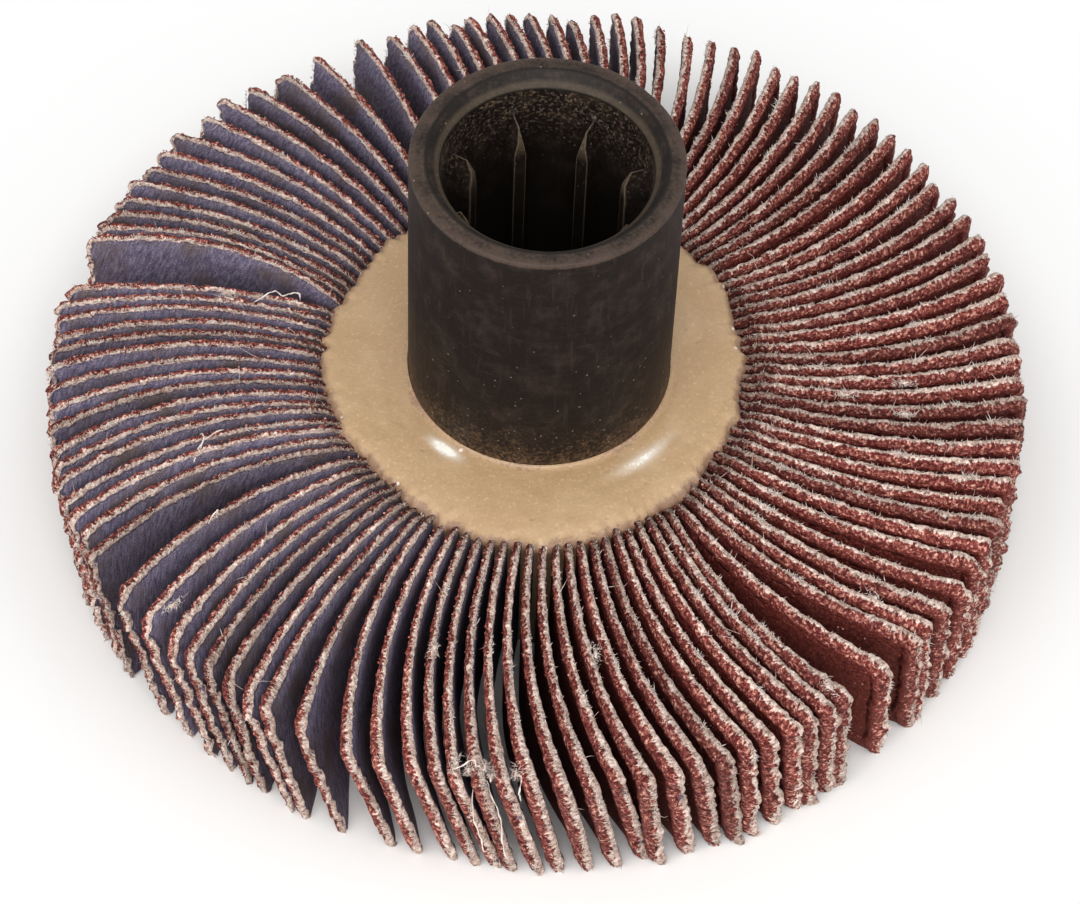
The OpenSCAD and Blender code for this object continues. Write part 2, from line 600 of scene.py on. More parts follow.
@dataclass(frozen=True)
class HubPlastic:
    """Dark moulded plastic, scuffed on its rim, dusty in its mouth and low on its wall, with
    painted shade down its bore and painted highlights on its ribs.
    """

    body: Colour = (0.0075, 0.0044, 0.0033)
    scuff: Colour = (0.06, 0.04, 0.03)
    dust: Colour = (0.17, 0.098, 0.05)
    speck: Colour = (0.3, 0.24, 0.18)
    # lit: colour of the painted highlights on the ribs' crest edges and tops in the bore
    lit: Colour = (0.17, 0.125, 0.08)
    # dark: near black of the painted shade down the bore, also the colour of the grooves
    dark: Colour = (0.005, 0.0034, 0.0021)
    clouds_per_metre: float = 360
    fuzz_per_metre: float = 2600
    specks_per_metre: float = 1900
    relief: float = 0.06 * MM

    def material(self) -> bpy.types.Material:
        """Makes the material: marks give scuffs, dust, grooves and painted highlights on the ribs,
        and painted shade darkens the bore downwards.
        """
        b = Bench.material("hub_plastic")
        point = b.position()
        edge, dusty, groove = b.parts(b.attribute("marks"))
        x, y, z = b.parts(point)
        cloud = b.noise(point, self.clouds_per_metre, 5, 0.7)
        fine = b.noise(point, self.fuzz_per_metre, 3, 0.7)
        streak = b.noise(b.vector(x * 1500, y * 1500, z * 170), 1, 3, 0.65)
        scratch = b.noise(b.vector(x * 300, y * 300, z * 2600), 1, 2, 0.6)
        colour = b.mix(cloud.step(0.44, 0.76) * 0.42, self.body, self.scuff)
        colour = b.mix(streak.step(0.56, 0.74) * 0.3, colour, self.scuff)
        colour = b.mix(scratch.step(0.62, 0.74) * 0.25, colour, self.scuff)
        scuffed = (edge + (fine - 0.5) * 1.1 + (cloud - 0.5) * 1.2).step(0.35, 1.1)
        colour = b.mix(scuffed, colour, self.scuff)
        dust = (dusty * (0.3 + cloud) + (fine - 0.5) * 1.5).step(0.35, 0.95)
        colour = b.mix(dust * 0.75, colour, self.dust)
        far, pick = b.cells(point, self.specks_per_metre)
        specks = (1 - far.step(0.08, 0.24)) * (pick + dusty * 0.2).step(0.94, 0.99)
        colour = b.mix(specks * 0.7, colour, self.speck)
        inside = 1 - (x * x + y * y).step(0.0107**2, 0.0111**2)
        # In the bore this mask is dust only: tan specks in its upper part.
        grime_and_shade = fine.step(0.5, 0.7) * inside * z.step(0.037, 0.0455) * (1 - z.step(0.0475, 0.048))
        colour = b.mix(grime_and_shade * 0.3, colour, self.speck)
        # Painted shade: inside the bore the colour goes near black towards the bottom.
        colour = b.mix(inside * (1 - z.step(0.032, 0.0465)) * 0.88, colour, self.dark)
        # Painted highlight: in the bore the first mark, on the ribs' crest edges and tops, takes
        # the lit colour, fading towards the bottom.
        colour = b.mix(inside * edge * (fine + 0.35) * z.step(0.01, 0.046), colour, self.lit)
        colour = b.mix(groove * 0.9, colour, self.dark)
        height = fine * 0.5 + streak * 0.5 + scratch * 0.5
        return b.dress(
            Base_Color=colour,
            Roughness=0.46 + cloud * 0.2 + dust * 0.3,
            Normal=b.bump(height, self.relief, 0.7),
            Specular_IOR_Level=0.2,
        )


# Flaps


@dataclass(frozen=True)
class Course:
    """Line that one flap follows seen from above: an arc of a circle, from its root to the rim."""

    centre: Array
    radius: float
    start: float
    stop: float

    @property
    def length(self) -> float:
        """Length of the arc."""
        return self.radius * abs(self.stop - self.start)

    def angle_at(self, along: float) -> float:
        """Angle about the wheel's axis at a distance from the root, in degrees."""
        x, y = self.at(np.array(along))[0]
        return math.degrees(math.atan2(y, x)) % 360

    def at(self, along: Array) -> tuple[Array, Array, Array]:
        """Point, course and cloth side: centre + R (cos p, sin p), where p goes by distance / R.

        Args:
            along: distances from the root.

        Returns:
            Points, unit vectors towards the rim and unit vectors towards the cloth face.
        """
        way = math.copysign(1, self.stop - self.start)
        p = self.start + way * along / self.radius
        out = np.stack([np.cos(p), np.sin(p)], -1)
        run = way * np.stack([-np.sin(p), np.cos(p)], -1)
        side = np.stack([-run[..., 1], run[..., 0]], -1)
        return self.centre + self.radius * out, run, side


@dataclass
class CadFlaps:
    """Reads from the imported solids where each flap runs."""

    nodes: dict[str, bpy.types.Object]
    flush: float = 1e-5
    spreads: int = 200
    fits: int = 3
    samples: int = 20001
    half_arc: float = 0.9
    bow_reach: float = 0.05

    def __post_init__(self) -> None:
        """Keeps the nodes that hold flaps, in order."""
        self.nodes = {n: self.nodes[n] for n in sorted(self.nodes) if n.startswith("flap_pair_")}

    def courses(self, name: str) -> list[Course]:
        """Finds the flaps of one node by spreading the least label over each solid's triangles.

        Args:
            name: the node.

        Returns:
            One course for each flap, counter-clockwise.
        """
        mesh = self.nodes[name].data
        co = np.zeros(len(mesh.vertices) * 3, np.float32)
        mesh.vertices.foreach_get("co", co)
        mesh.calc_loop_triangles()
        corners = np.zeros(len(mesh.loop_triangles) * 3, np.int32)
        mesh.loop_triangles.foreach_get("vertices", corners)
        rounded = np.round(co.reshape(-1, 3) * (1 / MICRON)).astype(np.int64)
        keys, same = np.unique(rounded, axis=0, return_inverse=True)
        triangles = same.ravel()[corners].reshape(-1, 3)
        label = np.arange(len(keys))
        for _ in range(self.spreads):
            least = label[triangles].min(1)
            spread = label.copy()
            np.minimum.at(spread, triangles, least[:, None])
            if (spread == label).all():
                break
            label = spread
        points = keys * MICRON
        found = [self.fit(points[label == n]) for n in np.unique(label)]
        return sorted(found, key=lambda course: course.angle_at(0.0))

    def fit(self, points: Array) -> Course:
        """Fits the middle of a strip: a least-squares circle, again with the faces moved to it.

        Args:
            points: the corners of one flap's solid.

        Returns:
            Its course.
        """
        z = points[:, 2]
        flat = points[(z < self.flush) | (z > z.max() - self.flush)][:, :2]
        moved = flat
        for _ in range(self.fits):
            lines = np.column_stack([2 * moved, np.ones(len(moved))])
            x, y, c = np.linalg.lstsq(lines, (moved**2).sum(1), rcond=None)[0]
            centre, radius = np.array([x, y]), math.sqrt(c + x * x + y * y)
            reach = np.linalg.norm(flat - centre, axis=1)
            outer = reach > radius
            gap = (reach[outer].mean() - reach[~outer].mean()) / 2
            moved = centre + (flat - centre) * (1 - np.where(outer, gap, -gap) / reach)[:, None]
        middle = math.atan2(*(flat.mean(0) - centre)[::-1])
        p = np.linspace(-self.half_arc, self.half_arc, self.samples)
        p = middle + p * min(1, self.bow_reach / radius)
        far = np.linalg.norm(centre + radius * np.stack([np.cos(p), np.sin(p)], -1), axis=1)
        if far[0] > far[-1]:
            p, far = p[::-1], far[::-1]
        low = int(np.argmin(far))
        reach = np.hypot(*points[:, :2].T)
        ends = np.interp([reach.min(), reach.max()], far[low:], p[low:])
        return Course(centre, radius, float(ends[0]), float(ends[1]))


@dataclass
class Flap:
    """One strip of coated cloth on edge: a sheet with a worn, frayed roll along its free edges.

    Names in mm hold millimetres, and the tables with _at in their names hold (angle, value)
    rows. The roll's rows are shares of half the thickness and millimetres out of the edge.
    Gamma draws are (shape, scale, least, most), and corners have what is added in front.
    """

    course: Course
    rng: np.random.Generator
    width: float = 17.2 * MM
    thickness: float = 0.78 * MM
    buried: float = 1.0 * MM
    limit: float = 51.4 * MM
    inset: float = 0.3 * MM
    spacing: float = 0.32 * MM
    step: float = 0.02 * MM
    clearance: float = 0.02 * MM
    dip: float = 0.5 * MM
    dip_ends: tuple[float, float] = (2.9 * MM, 4.6 * MM)
    rows: tuple[float, ...] = (0, 0.03, 0.12, 0.35, 0.62, 0.85, 1)
    roll: Table = (
        (-0.95, -1.7), (-1.7, -1.25), (-1.95, -0.85), (-1.7, -0.42), (-1.2, -0.08), (-0.6, 0.11),
        (0.05, 0.17), (0.6, 0.11), (0.95, -0.08), (1.08, -0.42), (0, -0.75),
    )
    dome: tuple[int, int] = (2, 10)
    proud_at: Table = (
        (0, 0.4), (18, 1.0), (32, 1.3), (55, 0.9), (70, 0.4), (84, 0.6), (112, 0.1), (150, 0.1),
        (190, 0.8), (200, 1.4), (217, 1.4), (228, 0.5), (246, 1.1), (290, 1.3), (300, 0.6),
        (330, 0.5), (345, 0.3),
    )
    bare_at: Table = (
        (0, 0.17), (60, 0.1), (120, -0.04), (180, -0.1), (240, 0.02), (280, 0.11), (320, 0.15),
    )
    swell_angle: float = 275
    swell_most: float = 0.62
    swell_spread: float = 0.08
    swell_ends: tuple[float, float] = (18 * MM, 32 * MM)
    tip_taper: float = 0.25
    slim_most: float = 0.3
    lean_angle: float = 225
    lean_mm: tuple[float, float] = (4.4, 0.3)
    slant_mm: tuple[float, float] = (0.35, 0.3)
    worn_back_mm: tuple[float, float] = (0.25, 0.8)
    uneven_mm: tuple[float, float] = (0.13, 0.3)
    sway_mm: float = 0.12
    tone_mean: float = 0.62
    tone_hidden: float = 0.12
    tone_spread: float = 0.18
    tone_least: float = 0.22
    torn_grit_mm: tuple[float, float] = (-0.95, -0.25)
    torn_cloth_mm: tuple[float, float] = (-0.34, -0.02)
    corners_mm: tuple[tuple[float, ...], ...] = (
        (0.5, 1.6, 0.42, 0.6, 3.2),
        (0.3, 1.5, 0.2, 0.3, 1.4),
    )
    tuck: float = 1.4
    lumps_mm: tuple[float, float] = (0.085, 0.05)
    wander_mm: tuple[float, float] = (0.05, 0.2)
    grain_mm: tuple[float, float] = (0.07, 0.165)
    grains_on_face: float = 0.25
    fringe_mm: tuple[float, ...] = (5, 0.043, 0.09, 0.42)
    stray_mm: tuple[float, ...] = (3, 0.25, 0.4, 1.5)
    fibre_mm: tuple[float, float] = (0.045, 0.075)
    tufted: float = 0.22

    def __post_init__(self) -> None:
        """Draws what differs from flap to flap, and lays the path of its worn edge.

        The path runs along the top edge, round the upper corner, down the tip and round the lower
        corner: it turns by an angle that grows at 1/radius on a corner, and along and up are the
        sums of the angle's cosine and minus its sine over the distance.
        """
        rng = self.rng
        self.angle = self.course.angle_at(0.0)
        self.bare = float(around(self.angle, self.bare_at))
        self.hidden = (1 - math.cos(math.radians(self.angle))) / 2
        self.slim = 1 - self.slim_most * self.hidden**2
        swell = self.swell_most * towards(self.angle, self.swell_angle) ** 1.5
        self.swell = swell + rng.uniform(-self.swell_spread, self.swell_spread)
        most, spread = self.lean_mm
        lean = most * towards(self.angle, self.lean_angle) ** 2
        self.lean = (lean + rng.normal(0, spread)) * MM
        self.slant = abs(rng.normal(*self.slant_mm)) * MM
        spread, most = self.worn_back_mm
        proud = around(self.angle, self.proud_at) - min(abs(rng.normal(0, spread)), most)
        self.length = self.course.length + proud * MM
        spread, most = self.uneven_mm
        self.top = self.width + np.clip(rng.normal(0, spread), -most, most) * MM
        self.sway = rng.normal(0, self.sway_mm) * MM
        mean = self.tone_mean - self.tone_hidden * self.hidden
        self.tone = float(np.clip(rng.normal(mean, self.tone_spread), self.tone_least, 1))
        self.upper, self.lower = (
            np.clip(added + rng.gamma(shape, scale), least, most) * MM
            for added, shape, scale, least, most in self.corners_mm
        )
        run = self.length - self.upper - self.buried
        drop = self.top - self.upper - self.lower
        quarter = math.pi / 2
        self.knots = np.cumsum([0, run, self.upper * quarter, drop, self.lower * self.tuck])
        self.far = np.arange(0, self.knots[-1], self.step)
        turn = np.interp(self.far, self.knots, [0, 0, quarter, quarter, quarter + self.tuck])
        self.path = (
            self.buried + np.cumsum(np.cos(turn)) * self.step,
            self.top - np.cumsum(np.sin(turn)) * self.step,
            turn,
        )

    def locate(self, along: Array, across: Array, up: Array) -> Array:
        """Points on the flap: the course, plus across towards the cloth face, plus lean and sway.

        By the root the upper edge dips into the resin. The lean moves the lower edge towards the
        cloth face by lean * w^1.3 * (1 - up / width) and the sway moves all of it by sway * w,
        where w rises from the root to the tip. The slant draws the upper end of the tip back by
        slant * up / width.

        Args:
            along: distance from the root.
            across: distance from the middle of the cloth.
            up: height.

        Returns:
            Points, never past the wheel's rim or under its underside.
        """
        share = up / self.width
        up = up - self.dip * share * (1 - smooth(along, *self.dip_ends))
        along = along - self.slant * share * smooth(along / self.length, 0.85, 1)
        middle, _, side = self.course.at(along)
        w = smooth(along / self.course.length, 0.3, 1.05)
        shift = across + self.sway * w + self.lean * w**1.3 * (1 - share)
        flat = middle + side * shift[..., None]
        far = np.linalg.norm(flat, axis=-1, keepdims=True)
        flat = flat * np.minimum(1, self.limit / far)
        return np.concatenate([flat, np.maximum(up, self.clearance)[..., None]], -1)

    def edge_point(self, far: Array, across: Array, out: Array) -> tuple[Array, Array, Array]:
        """Point by the path of the worn edge, moved out square to the path.

        Args:
            far: distance along the path.
            across: distance from the middle of the cloth.
            out: distance out of the edge, in the plane of the flap.

        Returns:
            Its distance from the root, its height and its place in space.
        """
        along, up, turn = (np.interp(far, self.far, part) for part in self.path)
        along, up = along + np.sin(turn) * out, up + np.cos(turn) * out
        return along, up, self.locate(along, np.broadcast_to(across, along.shape), up)

    def stain(self, along: Array) -> Array:
        """Tone of the cloth: the flap's own, falling to dark by the resin."""
        return self.tone * (1 - 0.95 * np.exp(-(along - 4.4 * MM).clip(0) / (1.6 * MM)))

    def surface(
        self, points: Array, along: Array, up: Array, across: Array, edge: Array
    ) -> Surface:
        """Grid of the cloth with its place and marks.

        Args:
            points: the grid's points.
            along: their distances from the root.
            up: their heights.
            across: their shares of half the thickness.
            edge: how frayed they are.

        Returns:
            The surface.
        """
        seed = self.angle * 7.7 * MM
        place = np.stack(np.broadcast_arrays(along + seed, up, across * self.thickness / 2), -1)
        side = np.clip(0.5 + 0.25 * across + self.bare, 0, 1)
        marks = np.stack(np.broadcast_arrays(edge, side, self.stain(along)), -1)
        return Surface.grid(points, place, marks, Layer.BODY, Ends.CAPPED)

    def sheet(self) -> Surface:
        """The cloth's two faces, as a closed grid: stations from root to tip by a loop round each.

        Stations crowd to the tip along 1 - (1 - t)^1.5, and at a worn corner of radius c the
        height falls by c - sqrt(c^2 - d^2).

        Returns:
            Its surface.
        """
        rng, rows = self.rng, np.array(self.rows)
        end, top = self.length - self.inset, self.top - self.inset
        t = np.linspace(0, 1, 26)[:, None]
        along = self.buried + (end - self.buried) * (1 - (1 - t) ** 1.5)
        cuts = []
        for corner in (self.upper, self.lower):
            corner = max(corner - self.inset, 0.2 * MM)
            past = np.clip(along - (end - corner), 0, corner)
            cuts.append(corner - np.sqrt(corner**2 - past**2))
        across = np.concatenate([-np.ones(len(rows)), [0], np.ones(len(rows)), [0]])
        height = np.concatenate([rows, [1], rows[::-1], [0]])
        shape = (len(along), len(across))
        up = cuts[1] + (top - cuts[0] - cuts[1]) * height
        low = np.exp(-up / (0.6 * MM))
        up = up + rough(rng, shape, (1.2, 1)) * 0.14 * low * MM
        sideways = rough(rng, shape, (1.5, 1.5)) * 0.03 * MM
        half = (self.thickness / 2 - 0.03 * MM) * across
        points = self.locate(np.broadcast_to(along, shape), half + sideways, up)
        near = np.minimum(up, np.minimum(top - up, end - along))
        edge = np.exp(-np.maximum(near, 0) / (0.2 * MM)) * 0.35
        return self.surface(points, along, up, across[None, :], edge)

    def edge_roll(self) -> Surface:
        """The worn edge: a lumpy roll with a domed section, carried along the edge's path.

        Returns:
            Its surface.
        """
        rng = self.rng
        far = np.linspace(0, self.knots[-1], int(self.knots[-1] / self.spacing))[:, None]
        section, out = np.array(self.roll).T[:, None, :]
        across = self.flare(section, far)
        shape = (len(far), across.shape[1])
        tip = smooth(far, self.knots[1], self.knots[2])
        fine, coarse = self.lumps_mm
        lumps = rough(rng, shape, (0.5, 0.6)) * fine + rough(rng, shape, (1.6, 1.4)) * coarse
        all_along, by_tip = self.wander_mm
        wander = rough(rng, (shape[0], 1), (2.5, 1)) * all_along
        wander = wander + rough(rng, (shape[0], 1), (1, 1)) * by_tip * tip
        moved = (out + lumps * (1 + 0.4 * tip) + wander * (out > -0.6) * (across > -1)) * MM
        thin = 1 - self.tip_taper * smooth(far, self.knots[3] - 2 * MM, self.knots[4])
        thin = thin * (1 + self.swell * smooth(far, *self.swell_ends)) * self.slim
        width = across * thin + rough(rng, shape, (0.6, 0.7)) * 0.11
        along, up, points = self.edge_point(far, width * self.thickness / 2, moved)
        grit, cloth = smooth(out, *self.torn_grit_mm), smooth(out, *self.torn_cloth_mm)
        worn = np.where(section < 0, grit, cloth)
        across = across + 1.2 * np.exp(-up / (2.5 * MM)) * (out > -0.6)
        return self.surface(points, along, up, across, worn)

    def flare(self, across: Array, far: Array) -> Array:
        """Draws the roll's grit side in by the resin, and on the side where the cloth shows."""
        wide = (0.12 + 0.88 * smooth(far, 4 * MM, 24 * MM)) * (1 - 0.55 * self.hidden)
        return np.where(across < -0.9, -0.9 + (across + 0.9) * wide, across)

    def crown(self, across: Array) -> Array:
        """How far the roll stands out at a share of half the thickness."""
        first, last = self.dome
        return np.interp(across, *np.array(self.roll[first:last]).T) * MM

    def grains(self, count: int) -> Surface:
        """Abrasive grains on the grit side of the free edges and on the face below, as octahedra.

        Args:
            count: number of grains.

        Returns:
            Their surface.
        """
        rng = self.rng
        far = rng.uniform(1.5 * MM, self.knots[-1], count)
        across = np.clip(rng.normal(-1.1, 0.5, count), -1.95, 0.2)
        out = self.crown(across)
        face = rng.random(count) < self.grains_on_face
        out[face] = -rng.uniform(1.2, 3.5, face.sum()) * MM
        across[face] = -1
        across = self.flare(across, far)
        size = rng.uniform(*self.grain_mm, count) * MM
        centre = self.edge_point(far, across * self.thickness / 2, out)[2]
        turn = np.linalg.qr(rng.standard_normal((count, 3, 3)))[0]
        turn *= np.sign(np.linalg.det(turn))[:, None, None]
        corners = np.vstack([np.eye(3), -np.eye(3)]) * rng.uniform(0.65, 1.25, (count, 6, 1))
        points = centre[:, None] + size[:, None, None] * np.einsum("nij,nkj->nki", turn, corners)
        points[..., 2] = np.maximum(points[..., 2], ABOVE_TABLE)
        above = [[0, 1, 2], [1, 3, 2], [3, 4, 2], [4, 0, 2]]
        below = [[1, 0, 5], [3, 1, 5], [4, 3, 5], [0, 4, 5]]
        faces = np.array(above + below)
        triangles = (faces[None] + 6 * np.arange(count)[:, None, None]).reshape(-1, 3)
        tone = np.repeat(np.clip(rng.normal(0.48, 0.27, count), 0, 1), 6)
        marks = np.stack([tone * 0, tone * 0, tone], -1)
        return Surface(points.reshape(-1, 3), [triangles], marks, marks, Layer.GRAIN, False)

    def lengths(self, table: tuple[float, ...], count: int) -> Array:
        """Draws lengths in millimetres from a gamma, and keeps them between a least and a most."""
        shape, scale, least, most = table
        return self.rng.gamma(shape, scale, count).clip(least, most)

    def fringe(self, count: int, strays: int) -> list[Surface]:
        """Frayed thread ends: a short fringe on the cloth side, tufts at some spots, long strays.

        Args:
            count: number of short fibres.
            strays: number of long ones.

        Returns:
            Their surfaces.
        """
        rng = self.rng
        made = []
        for number, segments in ((count, 1), (strays, 3)):
            far = rng.uniform(2.5 * MM, self.knots[-1], number)
            across = np.clip(rng.normal(0.7 - 2 * self.bare, 0.33, number), -0.6, 1.07)
            across *= self.slim
            length = self.lengths(self.fringe_mm, number) * (1 - 0.3 * self.hidden) * MM
            thick = rng.uniform(*self.fibre_mm, number) * MM
            tone = rng.normal(0.5, 0.2, number)
            heading = rng.normal(0, 1, (number, 3)) * [0.7, 0.4, 0.35] + [0, 0.08, 0.75]
            if segments == 1:
                spots = rng.integers(1, 5)
                middle = rng.uniform(0.15, 0.98, spots) * self.knots[-1]
                chosen = rng.integers(0, spots, number)
                tuft = rng.random(number) < self.tufted
                near = middle[chosen[tuft]] + rng.normal(0, 0.5, tuft.sum()) * MM
                far[tuft] = near.clip(2.5 * MM, self.knots[-1])
                length[tuft] *= 1.5
                tone[tuft] += 0.25
            else:
                length = self.lengths(self.stray_mm, number) * MM
                thick = thick * 0.6
            height = self.crown(across) * 0.6
            along, _, start = self.edge_point(far, across * self.thickness / 2, height)
            turn = np.interp(far, self.far, self.path[2])[:, None]
            _, run, side = self.course.at(along)
            forth, sideways, out = heading[:, :1], heading[:, 1:2], heading[:, 2:]
            flat = run * (np.cos(turn) * forth + np.sin(turn) * out) + side * sideways
            way = np.concatenate([flat, np.cos(turn) * out - np.sin(turn) * forth], 1)
            way /= np.linalg.norm(way, axis=1, keepdims=True)
            tone = np.clip(tone, 0, 1)
            made.append(tufts(rng, start, way, length, thick, tone, segments, self.limit))
        return made


def tufts(
    rng: np.random.Generator,
    start: Array,
    way: Array,
    length: Array,
    thick: Array,
    tone: Array,
    segments: int,
    limit: float,
    curl: float = 0.45,
) -> Surface:
    """Thin curling cones: start + length (t way + t^2 curl), three-sided and tapered.

    Args:
        rng: source of the curls.
        start: where each one starts.
        way: unit vector that it starts along.
        length: how long each one is.
        thick: radius of each one at its start.
        tone: from 0, stained, to 1, white.
        segments: straight pieces in each one.
        limit: farthest that they may reach from the wheel's axis.
        curl: how strongly they curl.

    Returns:
        Their surface.
    """
    count = len(start)
    bend = rng.normal(0, curl, (count, 3))
    t = np.linspace(0, 1, segments + 1)
    path = t[None, :, None] * way[:, None] + t[None, :, None] ** 2 * bend[:, None]
    line = start[:, None] + length[:, None, None] * path
    wide = np.cross(way, rng.standard_normal((count, 3)))
    wide /= np.linalg.norm(wide, axis=1, keepdims=True)
    high = np.cross(way, wide)
    turn = np.radians([0, 120, 240])[None, None, :, None]
    around = np.cos(turn) * wide[:, None, None] + np.sin(turn) * high[:, None, None]
    girth = (thick[:, None] * (1 - 0.6 * t[:-1]))[..., None, None]
    size = 3 * segments + 1
    body = (line[:, :-1, None] + around * girth).reshape(count, size - 1, 3)
    points = np.concatenate([body, line[:, -1:]], 1)
    far = np.linalg.norm(points[..., :2], axis=-1, keepdims=True)
    points[..., :2] *= np.minimum(1, limit / far)
    points[..., 2] = np.maximum(points[..., 2], ABOVE_TABLE)
    base = np.arange(3 * (segments - 1)).reshape(-1, 3)
    turned = np.roll(base, -1, axis=1)
    quads = np.stack([base, turned, turned + 3, base + 3], -1).reshape(-1, 4)
    last = size - 4
    cone = [[last + n, last + (n + 1) % 3, size - 1] for n in range(3)]
    ends = np.array([*cone, [2, 1, 0]])
    step = size * np.arange(count)[:, None, None]
    shade = np.repeat(tone, size)
    marks = np.stack([shade * 0, shade * 0, shade], -1)
    faces = [(quads[None] + step).reshape(-1, 4), (ends[None] + step).reshape(-1, 3)]
    return Surface(points.reshape(-1, 3), faces, marks, marks, Layer.FIBRE)


@dataclass
class FlapPack:
    """All the flaps, two to a piece as in the CAD part."""

    cad: CadFlaps
    grains: int = 120
    fibres: int = 540
    strays: int = 5
    seed: int = 41

    def make(self) -> list[bpy.types.Object]:
        """Builds the pieces and stands each one in for its CAD node.

        Returns:
            The pieces.
        """
        finishes = [CoatedCloth().material(), GRAIN.material(), FIBRE.material()]
        made = []
        for number, name in enumerate(self.cad.nodes):
            surfaces = []
            for which, course in enumerate(self.cad.courses(name)):
                flap = Flap(course, np.random.default_rng([self.seed, number, which]))
                surfaces += [flap.sheet(), flap.edge_roll(), flap.grains(self.grains)]
                surfaces += flap.fringe(self.fibres, self.strays)
            piece = build(name.replace("flap_pair", "flaps"), surfaces, finishes)
            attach(piece, "root")
            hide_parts(name)
            made.append(piece)
        return made


